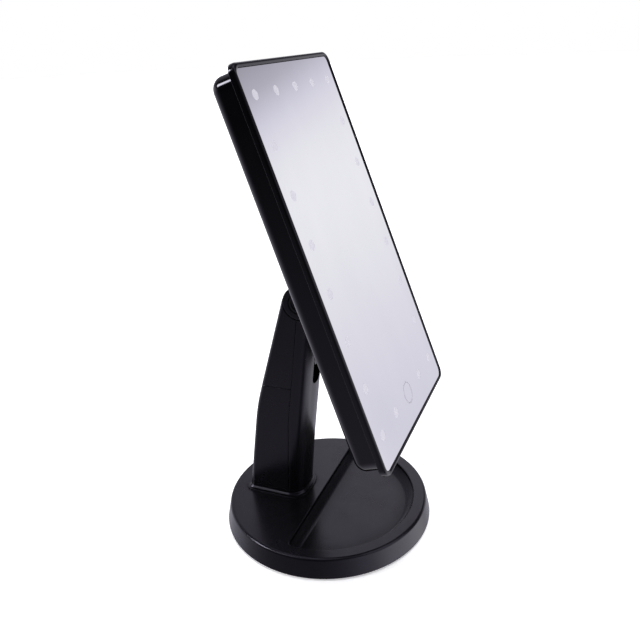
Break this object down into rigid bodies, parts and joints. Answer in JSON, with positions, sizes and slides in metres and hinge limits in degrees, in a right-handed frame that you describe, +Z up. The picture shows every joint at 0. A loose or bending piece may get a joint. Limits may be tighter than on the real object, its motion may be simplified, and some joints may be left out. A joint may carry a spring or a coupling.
{
  "type": "lighted tabletop make-up mirror",
  "caption": "Free-standing make-up mirror: a rectangular lamp-edged mirror head tilts on a leaning battery column over a round base with a D-shaped tray.",
  "frame": {"origin": "centre of the base's resting face on the table", "axes": "+Z up; +X across the mirror from its left edge to its right edge as seen from the front; -Y is the side the mirror faces and the tray is on, +Y is the column side"},
  "size_m": [0.124, 0.124, 0.2749],
  "materials": {
    "satin_black": "satin black moulded plastic with a very fine even texture",
    "gloss_black": "polished black moulded plastic",
    "mirror": "silvered float glass with frosted lamp windows",
    "diffuser": "frosted white sheet",
    "circuit_board": "white solder mask",
    "inner_plastic": "unpolished grey moulded plastic",
    "cell_sleeve": "plain printed foil sleeve",
    "cable_jacket": "soft cable jacket",
    "copper": "bare copper foil",
    "rubber": "matt black foam rubber",
    "steel": "zinc-plated steel"
  },
  "bodies": {
    "stand": {"anti_slip_pad": "rubber", "base_bottom_cover": "satin_black", "base_shell": "satin_black", "base_weight": "steel", "battery_tray": "inner_plastic", "cell_1": "cell_sleeve", "cell_2": "cell_sleeve", "cell_3": "cell_sleeve", "cell_4": "cell_sleeve", "column_cable": "cable_jacket", "column_front_shell": "satin_black", "column_rear_shell": "satin_black", "column_screw_1": "steel", "column_screw_2": "steel", "contact_bottom_left": "steel", "contact_bottom_right": "steel", "contact_spring_1": "steel", "contact_spring_2": "steel", "contact_spring_3": "steel", "contact_spring_4": "steel", "contact_top_left": "steel", "contact_top_right": "steel", "cover_screw_1": "steel", "cover_screw_2": "steel", "cover_screw_3": "steel", "shell_screw_1": "steel", "shell_screw_2": "steel", "switch_body": "inner_plastic"},
    "mirror_head": {"bracket_screw_1": "steel", "bracket_screw_2": "steel", "bracket_screw_3": "steel", "bracket_screw_4": "steel", "control_board": "circuit_board", "friction_washer_left": "rubber", "friction_washer_right": "rubber", "front_bezel": "gloss_black", "head_cable": "cable_jacket", "hinge_bracket": "gloss_black", "hinge_cap_left": "gloss_black", "hinge_cap_right": "gloss_black", "hinge_pin": "steel", "housing_screw_1": "steel", "housing_screw_2": "steel", "housing_screw_3": "steel", "housing_screw_4": "steel", "led_carrier_plate": "inner_plastic", "led_strip_bottom": "circuit_board", "led_strip_left": "circuit_board", "led_strip_right": "circuit_board", "led_strip_top": "circuit_board", "light_diffuser": "diffuser", "mirror_glass": "mirror", "rear_housing": "gloss_black", "touch_sensor": "copper"},
    "battery_door": {"battery_door": "satin_black"},
    "power_switch": {"switch_knob": "gloss_black"}
  },
  "joints": [
    {"name": "head_tilt", "type": "hinge", "parent": "stand", "child": "mirror_head", "pos_m": [0, 0.0078, 0.1393], "axis": [-1, 0, 0], "range_deg": [-32, 127]},
    {"name": "door_slide", "type": "slide", "parent": "stand", "child": "battery_door", "axis": [0, 1, 0], "range_m": [0, 0.03]},
    {"name": "switch_slide", "type": "slide", "parent": "stand", "child": "power_switch", "axis": [0, 0.1289, -0.9917], "range_m": [0, 0.0055]}
  ]
}
